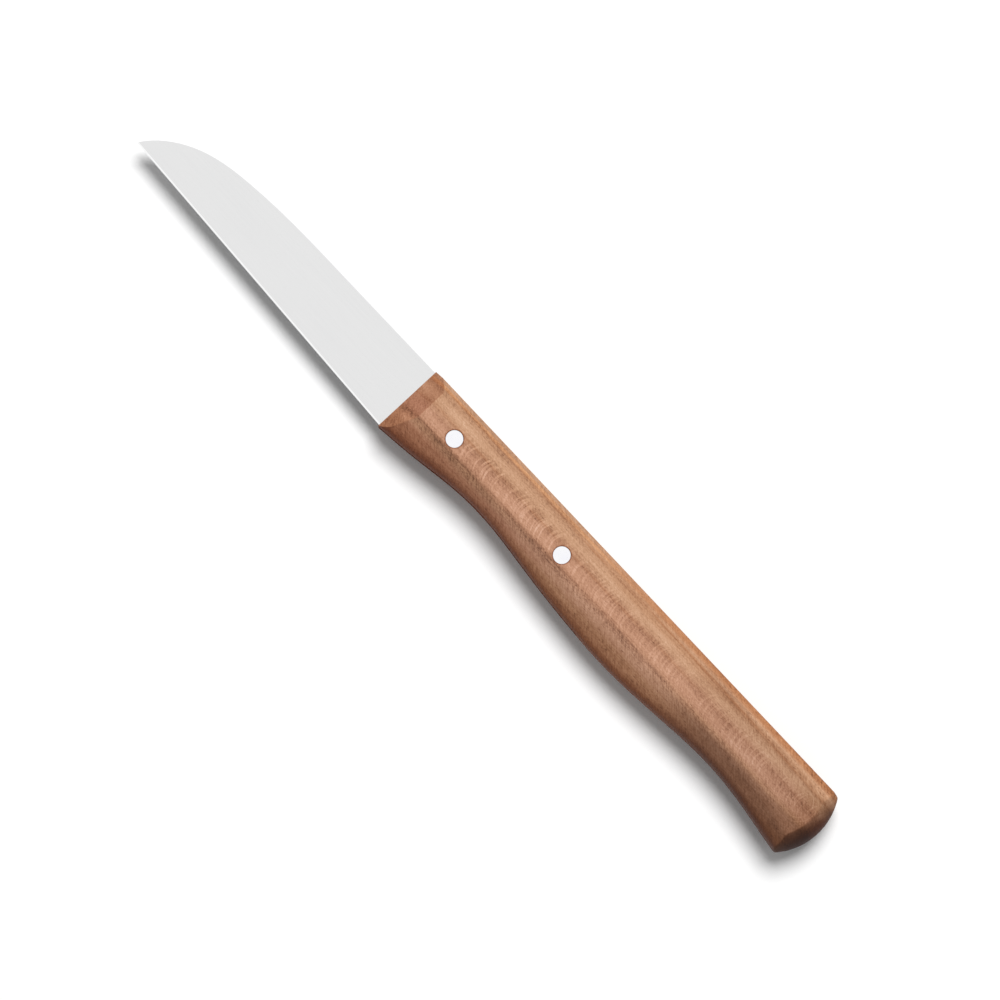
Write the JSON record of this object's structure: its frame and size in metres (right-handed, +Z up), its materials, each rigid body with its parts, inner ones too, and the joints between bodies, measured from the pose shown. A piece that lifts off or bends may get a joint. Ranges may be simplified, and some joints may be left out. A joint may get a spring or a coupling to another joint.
{
  "type": "paring knife",
  "caption": "Small kitchen knife for peeling and trimming: a short, thin blade with a straight edge and a falling nose, riveted by a half tang into a faceted wooden handle with a flared butt.",
  "frame": {"origin": "middle of the footprint of the knife as it lies on the flat of its handle, on the surface that it lies on", "axes": "+X along the knife from tip to butt, +Y from cutting edge to spine, +Z up, through the thickness of the handle"},
  "size_m": [0.1852, 0.0157, 0.012],
  "materials": {
    "blade_steel": "fine lengthwise satin, thin ground",
    "handle_wood": "oiled fruitwood, sanded smooth, end grain darker",
    "rivet_aluminium": "ground flush with the wood"
  },
  "bodies": {
    "root": {"blade": "blade_steel", "handle": "handle_wood", "front_rivet": "rivet_aluminium", "rear_rivet": "rivet_aluminium"}
  },
  "joints": []
}
